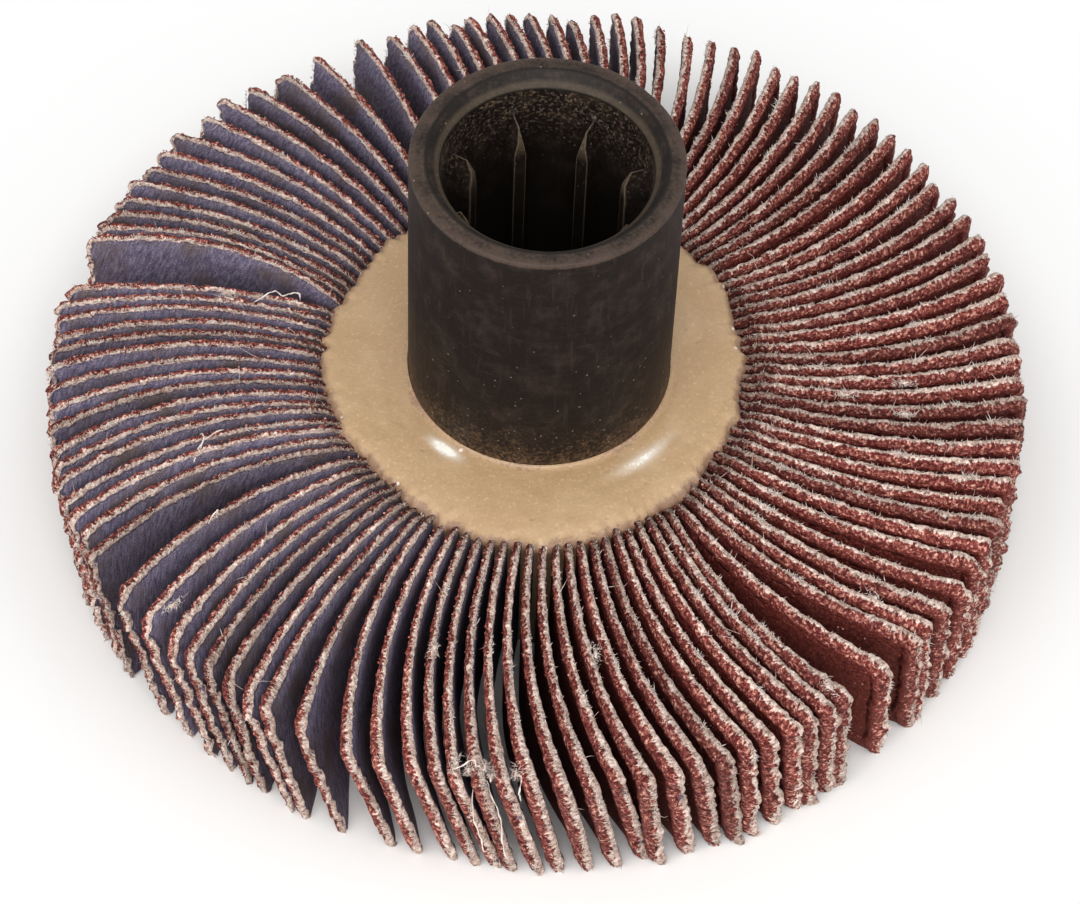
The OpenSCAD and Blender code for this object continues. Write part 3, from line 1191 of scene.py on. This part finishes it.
@dataclass
class Lint:
    """Pulled threads and fluff that cling to the flaps' edges.

    Places are (radius in millimetres, angle) and, for threads, the height over the flaps.
    """

    threads: tuple[tuple[tuple[float, float, float], ...], ...] = (
        (
            (38.0, 201.8, -0.3), (36.6, 201.3, 0.3), (35.9, 200.1, 0.5), (35.0, 198.9, 0.3),
            (33.6, 197.9, 0.1),
        ),
        ((36.9, 202.4, 0.1), (35.9, 200.1, 0.4), (35.6, 197.8, 0.2)),
        (
            (31.4, 167.9, -0.3), (29.9, 165.9, 0.2), (28.6, 165.2, 0.3), (27.4, 163.6, 0.2),
            (26.2, 163.2, -0.2),
        ),
        ((38.6, 214.1, -0.2), (37.8, 213.4, 0.3), (37.1, 213.7, 0)),
        ((48.8, 262.3, 0), (49.4, 263.6, 0.5), (49.1, 265.0, 0.4), (48.8, 266.4, 0.1)),
        ((49.3, 264.2, 0), (50.6, 265.0, -4), (50.9, 266.0, -9), (50.7, 266.4, -13)),
        ((49.0, 266.1, 0), (50.5, 266.8, -3.5), (51.0, 268.0, -8), (50.9, 269.3, -12)),
        ((49.4, 269.2, 0.1), (50.2, 270.0, -1), (50.6, 270.2, -2.5)),
    )
    fluff: Table = (
        (48.9, 262.6), (49.0, 265.9), (49.3, 269.4), (49.5, 264.2), (50.0, 266.8), (37.6, 359.4),
        (37.8, 353.3), (47.9, 307.7), (47.0, 222.5), (36.1, 280.8), (36.7, 255.8), (43.7, 321.1),
        (31.5, 356.0), (42.0, 349.0), (33.0, 168.0),
    )
    girth: float = 0.06
    twist: float = 5
    top: float = 17.3
    seed: int = 19

    def thread(self, rng: np.random.Generator, places: Array) -> Surface:
        """One two-ply thread: its section's radius is girth (1 + 0.35 cos 2(a - twist s)).

        Args:
            rng: source of its unevenness.
            places: radii, angles and heights that it runs through.

        Returns:
            Its surface.
        """
        knots = np.arange(len(places))
        s = np.linspace(0, len(places) - 1, 14 * len(places))
        fitted = [np.polyval(np.polyfit(knots, column, len(places) - 1), s) for column in places.T]
        ends = np.minimum(s, s[-1] - s)
        height = self.top + fitted[2] - 0.5 * np.exp(-ends / 0.25) + rough(rng, s.shape, (6,)) * 0.1
        line = polar(fitted[0] * MM, fitted[1], height * MM)
        line = line + rough(rng, line.shape, (7, 1)) * 0.2 * MM
        line = line + rough(rng, line.shape, (2, 1)) * 0.04 * MM
        ahead = np.gradient(line, axis=0)
        ahead /= np.linalg.norm(ahead, axis=1, keepdims=True)
        wide = np.cross(ahead, [0.3, 0.2, 1])
        wide /= np.linalg.norm(wide, axis=1, keepdims=True)
        high = np.cross(wide, ahead)
        a = np.linspace(0, 2 * math.pi, 9)[None, :-1]
        girth = self.girth * (1 + 0.35 * np.cos(2 * (a - self.twist * s[:, None])))
        girth = girth + rough(rng, (len(s), 8), (1, 1)) * 0.02
        girth = girth * np.clip(ends / 0.15, 0.15, 1)[:, None] * MM
        round_it = np.cos(a)[..., None] * wide[:, None] + np.sin(a)[..., None] * high[:, None]
        points = line[:, None] + girth[..., None] * round_it
        marks = [0, 0, 0.75] + rough(rng, (len(s), 8, 1), (2, 1, 1)) * [0, 0, 0.1]
        return Surface.grid(points, points, marks, Layer.FIBRE, Ends.CAPPED)

    def tuft(self, rng: np.random.Generator, radius: float, angle: float) -> Surface:
        """A loose knot of fibres that start on an edge and curl over it.

        Args:
            rng: source of the fibres.
            radius: its place, in millimetres.
            angle: its place, in degrees.

        Returns:
            Its surface.
        """
        count = 110
        a = math.radians(angle)
        run = np.array([math.cos(a), math.sin(a), 0])
        spread = rng.normal(0, 0.2, (count, 3)) * [1, 1, 0.5] + rng.normal(0, 0.6, (count, 1)) * run
        centre = polar(np.array(radius * MM), np.array(angle), np.array((self.top - 0.05) * MM))
        way = rng.normal(0, 1, (count, 3)) * [1, 1, 0.5] + [0, 0, 0.25]
        way /= np.linalg.norm(way, axis=1, keepdims=True)
        length = rng.gamma(4, 0.055, count).clip(0.1, 0.5) * MM
        thick = rng.uniform(0.025, 0.045, count) * MM
        tone = np.clip(rng.normal(0.7, 0.2, count), 0, 1)
        return tufts(rng, centre + spread * MM, way, length, thick, tone, 3, 50 * MM, 1.1)

    def wad(self, rng: np.random.Generator, radius: float, angle: float) -> Surface:
        """The matted middle of a tuft: a lumpy ball of radii (a, b, c), longest along the flap.

        Args:
            rng: source of the lumps.
            radius: its place, in millimetres.
            angle: its place, in degrees.

        Returns:
            Its surface.
        """
        down = np.linspace(0.12, math.pi - 0.12, 12)[:, None]
        a = np.linspace(0, 2 * math.pi, 15)[None, :-1]
        size = 1 + rough(rng, (12, 14), (1, 1)) * 0.42
        long, wide, high = rng.uniform(0.2, 0.45), rng.uniform(0.09, 0.17), rng.uniform(0.08, 0.14)
        turn = math.radians(angle)
        ball = [
            long * np.cos(down) * size,
            wide * np.sin(down) * np.cos(a) * size,
            high * np.sin(down) * np.sin(a) * size,
        ]
        x = ball[0] * math.cos(turn) - ball[1] * math.sin(turn)
        y = ball[0] * math.sin(turn) + ball[1] * math.cos(turn)
        centre = polar(np.array(radius * MM), np.array(angle), np.array((self.top - 0.02) * MM))
        points = centre + np.stack([x, y, ball[2]], -1) * MM
        marks = [0, 0, 0.5] + rough(rng, (12, 14, 1), (1, 1, 1)) * [0, 0, 0.2]
        return Surface.grid(points, points, marks, Layer.FIBRE, Ends.CAPPED)

    def make(self) -> bpy.types.Object:
        """Builds the threads and the fluff as one piece.

        Returns:
            The piece.
        """
        rng = np.random.default_rng(self.seed)
        surfaces = [self.thread(rng, np.array(places)) for places in self.threads]
        for radius, angle in self.fluff:
            surfaces += [self.tuft(rng, radius, angle), self.wad(rng, radius, angle)]
        fibre = bpy.data.materials[FIBRE.name]
        piece = build("lint", surfaces, [fibre, fibre, fibre])
        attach(piece, "root")
        return piece


# Resin ring


@dataclass
class ResinRing:
    """Poured ring: a sandy top that meets the hub and ends ragged on the flaps."""

    inner: float = 13.49
    top: float = 17.75
    climb: float = 0.4
    columns: int = 512
    rim: Table = (
        (0, 21.3), (30, 22.2), (90, 22.2), (140, 22.3), (180, 22.5), (220, 21.1), (240, 21.8),
        (262, 22.4), (270, 23.0), (278, 22.4), (300, 21.8), (330, 21.3),
    )
    rim_from_root: float = 3.6 * MM
    rim_noise: Table = ((10, 0.18), (2.2, 0.17), (0.9, 0.08))
    tongues: tuple[float, float] = (0.07, 0.15)
    # The first patch is a pale chip by the hub, the second a painted highlight, a glossy streak
    # beside the hub.
    patches: tuple[tuple[float, ...], ...] = ((1.7, 14.9, 232, 0.55, 6), (0.9, 16.2, 313, 0.6, 10))
    seed: int = 7

    def profile(self) -> tuple[Array, Array, Array]:
        """Closed section, from the underside round the rim to the climb at the hub.

        Returns:
            Share of the way to the rim, height in millimetres, and weight of the ragged edge.
        """
        top = self.top
        floor = [(s, 0.3 - 0.1 * s, 0) for s in (0, 0.3, 0.6, 0.9, 1)]
        wall = [(1.0, z, 0) for z in (1, 5, 10, top - 1.8)]
        edge = [(1.01, top - 1.4, 1), (1.012, top - 1.15, 1), (1.0, top - 0.9, 1)]
        edge += [(0.985, top - 0.72, 1), (0.965, top - 0.57, 1)]
        tops = [(s, top - 0.48 * (s / 0.95) ** 9, s**6) for s in np.linspace(0.945, 0.1, 26)]
        climb = [
            (0.085 - 0.08 * math.sin(a), top + self.climb * (1 - math.cos(a)), 0)
            for a in np.radians(np.linspace(0, 84, 8))
        ]
        made = np.array(floor + wall + edge + tops + climb)
        return made[:, 0], made[:, 1], made[:, 2]

    def make(self, flap_angles: Array) -> bpy.types.Object:
        """Turns the profile round the axis, with the rim's own radius at each angle.

        The rim is a smooth outline plus noise, plus a tongue over each flap of its own length.

        Args:
            flap_angles: angles at which the flaps pass under the rim, in degrees.

        Returns:
            The piece.
        """
        rng = np.random.default_rng(self.seed)
        share, height, free = (a[None, :] for a in self.profile())
        angle = np.linspace(0, 360, self.columns, endpoint=False)
        rim = around(angle, self.rim)
        *broad, (fine_reach, fine) = self.rim_noise
        for reach, amount in broad:
            rim = rim + rough(rng, (self.columns,), (reach,)) * amount
        order = np.sort(flap_angles)
        turns = np.interp(angle, order, np.arange(len(order)), period=360)
        turns = np.where((angle > order[-1]) | (angle < order[0]), len(order) - 0.5, turns)
        ridge = 0.5 + 0.5 * np.cos(2 * math.pi * turns)
        tongue = rng.normal(*self.tongues, len(order) + 1)[np.round(turns).astype(int)]
        rim = rim + rough(rng, (self.columns,), (fine_reach,)) * fine
        rim = (rim + tongue * ridge)[:, None]
        shape = (self.columns, share.shape[1])
        radius = self.inner + (rim - self.inner) * share
        bumps = rough(rng, shape, (3, 1.2)) * 0.02 + rough(rng, shape, (30, 6)) * 0.035
        up = height + bumps * (height > 15) * smooth(share, 0.02, 0.2)
        up = up + (ridge[:, None] - 0.5) * 0.07 * free + rough(rng, shape, (1.1, 1)) * 0.09 * free
        up = up + (height < 1) * rough(rng, shape, (9, 2)) * 0.08
        points = polar(radius * MM, angle[:, None], up * MM)
        # Painted shade: the resin is drawn darker next to the hub, in the corner where it meets it,
        # through the same edge mark that stains it towards the flaps.
        grime_and_shade = 0.75 * (1 - smooth(share, 0.03, 0.16)) * (height > 12)
        edge = smooth(share, 0.82, 1.0) * (height > 12) + (height < 1) * 0.3 + grime_and_shade
        gloss = 1 - smooth(share, 0.05, 0.6)
        chip_and_highlight = np.clip(self.chip_and_highlight(radius, angle), 0, 1) * (height > 15)
        marks = np.stack(np.broadcast_arrays(edge, gloss, chip_and_highlight), -1)
        surface = Surface.grid(points[::-1], points[::-1], marks[::-1], Layer.BODY, Ends.JOINED)
        piece = build("resin", [surface], [TanResin().material()])
        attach(piece, "root")
        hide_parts("resin_ring")
        return piece

    def chip_and_highlight(self, radius: Array, angle: Array) -> Array:
        """Weight of the pale patches, a chip and a painted highlight: each is s exp(-((r - r0) /
        wide)^2 - ((a - a0) / long)^2).

        Args:
            radius: radii of the grid, in millimetres.
            angle: angles of its rows.

        Returns:
            The sum of their weights.
        """
        return sum(
            strength * np.exp(-(((radius - r0) / wide) ** 2) - ((angle[:, None] - a0) / long) ** 2)
            for strength, r0, a0, wide, long in self.patches
        )


# Hub


@dataclass
class Hub:
    """Moulded tube with lead-ins and eight tapered ribs in its bore."""

    outer: float = 13.5
    draft: float = 0.12
    bore: float = 10.35
    height: float = 49.2
    foot: float = 17.0
    lead_in: tuple[float, float] = (1.3, 1.4)
    rim_round: float = 0.4
    ribs: int = 8
    first_rib: float = 20
    rib_height: float = 2.4
    rib_foot: float = 0.8
    rib_crest: float = 0.6
    rib_ends: tuple[float, float] = (4.9, 44.3)
    rib_bevel: tuple[float, float] = (0.7, 1.6)
    rib_point: float = 3.4
    seed: int = 3

    @property
    def rib_angles(self) -> tuple[float, float]:
        """Half of a rib's width at its crest and at its foot, as angles."""
        crest = math.degrees(self.rib_crest / (self.bore - self.rib_height))
        return crest, math.degrees(self.rib_foot / self.bore)

    def columns(self) -> Array:
        """Angles of the grid's columns, closer together on the flanks of each rib."""
        crest, foot = self.rib_angles
        flank = [crest * 0.84, crest * 0.95, crest, crest * 0.8 + foot * 0.2]
        flank += [foot, foot * 1.12, foot * 1.4]
        half = np.unique(np.array([0, *flank, 8, 11.5, 15, 18.8]))
        around = np.concatenate([-half[:0:-1], half])
        steps = self.first_rib + 360 / self.ribs * np.arange(self.ribs)
        return (steps[:, None] + around).ravel() % 360

    def profile(self) -> Array:
        """Closed section from the outer foot up, over the rim and down the bore, in millimetres.

        Returns:
            Rows of (radius, height, scuffing, dust, groove).
        """
        bore, top, small = self.bore, self.height, self.rim_round
        wide, deep = self.lead_in
        low, high = self.rib_ends
        rows = []
        for z in (0.25, 1, 8, 15, self.foot, 19, 22, 26, 31, 36, 41, 45, 48, 48.6):
            past = max(z - self.foot, 0)
            radius = self.outer - self.draft * past / (top - self.foot)
            rows.append((radius, z, 0.25 * smooth(z, 44, 48.5), 0.95 * math.exp(-past / 7), 0))
        out = self.outer - self.draft
        for a in np.radians(np.linspace(0, 90, 6)):
            inwards, below = small * (1 - math.cos(a)), small * (1 - math.sin(a))
            rows.append((out - inwards, top - below, 0.95, 0.15, 0))
        rows += [
            (out - 0.9, top, 0.75, 0.1, 0),
            (bore + wide + 0.35, top, 0.75, 0.1, 0),
            (bore + wide + 0.1, top - 0.01, 0.4, 0.1, 0.9),
            (bore + wide, top - 0.08, 0.4, 0.1, 1),
            (bore + wide - 0.12, top - 0.22, 0.5, 0.1, 0.2),
            (bore + wide * 0.5, top - deep * 0.55, 0.35, 0.1, 0),
            (bore + 0.14, top - deep + 0.12, 0.3, 0.15, 0.1),
            (bore + 0.03, top - deep, 0.2, 0.2, 1),
            (bore, top - deep - 0.14, 0, 0.5, 0.7),
            (bore, top - deep - 0.35, 0, 0.55, 0),
        ]
        stops = [high + past for past in (1.6, 0.1, 0, -0.1, -0.8, -1.6, -2, -2.6, -3.4)]
        stops += list(np.linspace(high - 5, low + 5, 8))
        bevel = self.rib_bevel[1]
        stops += [low + bevel + 0.3, low + bevel, low + 0.1, low, low - 0.1]
        rows += [(bore, z, 0.0, 0.5 * math.exp(-max(high - z, 0) / 7), 0) for z in stops]
        rows += [
            (bore, deep + 0.15, 0, 0.4, 0),
            (bore + 0.1, deep - 0.1, 0.1, 0.3, 0),
            (bore + wide - 0.1, 0.1, 0.3, 0.3, 0),
            (bore + wide, 0, 0.3, 0.3, 0),
            (self.outer - 0.25, 0, 0.3, 0.3, 0),
        ]
        return np.array(rows, float)

    def make(self) -> bpy.types.Object:
        """Turns the profile round the axis; on a rib the bore's radius falls by the rib's height.

        The fall is height times a side share, which drops from the crest's half width to the
        foot's, times an end share, which the bevels cut at both ends. Towards its upper end a
        rib narrows by (end - z) / point.

        Returns:
            The piece.
        """
        rng = np.random.default_rng(self.seed)
        angle = np.sort(self.columns())[:, None]
        radius, z, scuff, dust, groove = (c[None, :] for c in self.profile().T)
        turned = (angle - self.first_rib + 180 / self.ribs) % (360 / self.ribs) - 180 / self.ribs
        off = np.abs(turned)
        crest, foot = self.rib_angles
        side = 1 - smooth(off, crest, foot)
        low, high = self.rib_ends
        cut, bevel = self.rib_bevel
        full = np.clip(np.minimum(high - z, z - low) / bevel, 0, 1)
        end = (z <= high) * (z >= low) * (1 - cut / self.rib_height * (1 - full))
        inside = np.abs(radius - self.bore) < 0.01
        fall = self.rib_height * side * end * inside
        shape = (len(angle), radius.shape[1])
        dents = rough(rng, shape, (4, 1.5)) * 0.01
        point = np.where(z < high + 0.15, np.clip((high - z) / self.rib_point, 0.1, 1), 1)
        narrowed = angle - turned * (1 - point) * (off < foot * 1.2) * inside
        points = polar((radius - fall + dents) * MM, narrowed, np.maximum(z, 0.02) * MM)
        on_rib = fall > 0.5
        # Painted highlights on the ribs' crest edges and pointed tops: they join the rim's scuffing
        # in the first mark, worn, which the finish paints in its lit colour inside the bore.
        arris_highlight = on_rib * (off > crest * 0.94) * (off < crest * 1.001)
        rib_top_highlight = on_rib * (off < crest * 1.001) * np.clip((z - high + self.rib_point) / 1.2, 0, 1)
        worn = np.clip(scuff + arris_highlight * 0.6 + rib_top_highlight * 0.45, 0, 1)
        dusty = dust * (1 - 0.6 * on_rib)
        marks = np.stack(np.broadcast_arrays(worn, dusty, groove), -1)
        surface = Surface.grid(points[::-1], points[::-1], marks[::-1], Layer.BODY, Ends.JOINED)
        piece = build("hub_tube", [surface], [HubPlastic().material()])
        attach(piece, "root")
        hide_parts("hub")
        return piece


# Studio


class Lamp(Enum):
    """Lamps of the studio: place in metres, size in metres and power in watts."""

    LEFT = ((-0.32, -0.42, 0.44), 0.45, 2.1)
    RIGHT = ((0.4, -0.24, 0.5), 0.5, 1.1)
    FRONT = ((0.03, -0.45, 0.56), 0.3, 2.1)


@dataclass
class Studio:
    """Pale floor, soft light and the camera."""

    focal_px: float = 3567.9
    width_px: int = 1080
    spot: tuple[float, float, float] = (0, -0.2266, 0.30663)
    pitch: float = 0.931
    yaw: float = -0.0023
    roll: float = 0.0451
    sensor_mm: float = 36
    clip: tuple[float, float] = (0.005, 10)
    aim: tuple[float, float, float] = (0, 0, 0.01)
    ambient: float = 0.58
    floor_radii: tuple[float, ...] = (1e-6, 0.05, 0.1, 0.2, 0.5, 1.5)
    floor_z: float = -0.05 * MM
    floor_colour: Colour = (0.83, 0.815, 0.8)
    fade: tuple[tuple[float, float, float], ...] = (
        (0.0495, 0.053, 0.15),
        (0.052, 0.066, 0.45),
        (0.054, 0.085, 0.4),
    )

    @staticmethod
    def stand(
        name: str,
        data: bpy.types.Camera | bpy.types.Light,
        axes: tuple[Array, Array, Array],
        place: tuple[float, float, float],
    ) -> bpy.types.Object:
        """Adds a camera or a lamp to the scene.

        Args:
            name: its name.
            data: its settings.
            axes: unit vectors of its own x, y and z. It looks along -z.
            place: where it stands, in metres.

        Returns:
            The object.
        """
        made = bpy.data.objects.new(name, data)
        bpy.context.scene.collection.objects.link(made)
        turn = np.eye(4)
        turn[:3] = np.column_stack([*axes, place])
        made.matrix_world = Matrix(turn.tolist())
        return made

    def camera(self) -> None:
        """Stands the camera at the photograph's place: its lens is sensor * focal / width."""
        data = bpy.data.cameras.new("camera")
        data.sensor_width = self.sensor_mm
        data.lens = self.focal_px / self.width_px * self.sensor_mm
        data.clip_start, data.clip_end = self.clip
        cy, sy = math.cos(self.yaw), math.sin(self.yaw)
        cp, sp = math.cos(self.pitch), math.sin(self.pitch)
        forward = np.array([-sy * cp, cy * cp, -sp])
        right = np.array([cy, sy, 0])
        up = np.cross(right, forward)
        x = math.cos(self.roll) * right + math.sin(self.roll) * up
        y = -math.sin(self.roll) * right + math.cos(self.roll) * up
        cam = self.stand("camera", data, (x, y, -forward), self.spot)
        bpy.context.scene.camera = cam

    def lamps(self) -> None:
        """Hangs the lamps, each a square panel that faces the wheel."""
        for lamp in Lamp:
            name = lamp.name.lower()
            place, size, power = lamp.value
            data = bpy.data.lights.new(name, "AREA")
            data.size, data.energy = size, power
            to = np.array(self.aim) - np.array(place)
            z = -to / np.linalg.norm(to)
            x = np.cross([0, 1, 0], z)
            x /= np.linalg.norm(x)
            self.stand(name, data, (x, np.cross(z, x), z), place)

    def world(self) -> None:
        """Lights from all round, and shows white to the camera, gloss and glass."""
        b = Bench(bpy.data.worlds.new("studio"))
        bpy.context.scene.world = b.owner
        seen = b.node("ShaderNodeLightPath", None, None, "Is Camera Ray")
        for kind in ("Is Glossy Ray", "Is Transmission Ray"):
            seen = seen.top(b.node("ShaderNodeLightPath", None, None, kind))
        back = b.tree.nodes["Background"]
        b.feed(back.inputs["Color"], (1.0, 1.0, 1.0))
        b.feed(back.inputs["Strength"], seen * (1 - self.ambient) + self.ambient)

    def floor(self) -> None:
        """Lays a pale floor that turns white away from the wheel, in steps of (from, to, part)."""
        steps = np.linspace(0, 2 * math.pi, 97)[:-1]
        radii = np.array(self.floor_radii)
        x, y = np.outer(radii, np.cos(steps)), np.outer(radii, np.sin(steps))
        grid = np.stack([x, y, np.full(x.shape, self.floor_z)], -1)
        b = Bench.material("floor")
        east, north, _ = b.parts(b.position())
        far = (east * east + north * north) ** 0.5
        seen = b.node("ShaderNodeLightPath", None, None, "Is Camera Ray")
        first, second, third = (far.step(low, high) * part for low, high, part in self.fade)
        share = (first + second + third) * seen
        material = b.dress(Base_Color=self.floor_colour, Roughness=0.9, Specular_IOR_Level=0.1)
        plain = Signal(b, b.tree.nodes["Principled BSDF"].outputs[0])
        white = b.node("ShaderNodeEmission", None, {"Strength": 1.0})
        mixed = b.node("ShaderNodeMixShader", None, {0: share, 1: plain, 2: white})
        b.feed(b.tree.nodes["Material Output"].inputs["Surface"], mixed)
        surface = Surface.grid(grid, grid, grid, Layer.BODY, Ends.OPEN)
        build("floor", [surface], [material])

    def make(self) -> None:
        """Sets up the view, the light and the floor."""
        scene = bpy.context.scene
        scene.view_settings.view_transform = "Standard"
        self.camera()
        self.lamps()
        self.world()
        self.floor()


def main() -> None:
    """Builds the wheel and its studio, and logs the faces of the pieces."""
    logging.basicConfig(level=logging.INFO, format="%(message)s")
    Studio().make()
    cad = CadFlaps(frame["nodes"])
    flaps = FlapPack(cad).make()
    log.info("flaps: %d pieces, %d faces", len(flaps), sum(len(o.data.polygons) for o in flaps))
    ring = ResinRing()
    angles = [c.angle_at(ring.rim_from_root) for name in cad.nodes for c in cad.courses(name)]
    for piece in (ring.make(np.array(angles)), Hub().make(), Lint().make()):
        log.info("%s: %d faces", piece.name, len(piece.data.polygons))


if __name__ == "__main__":
    main()
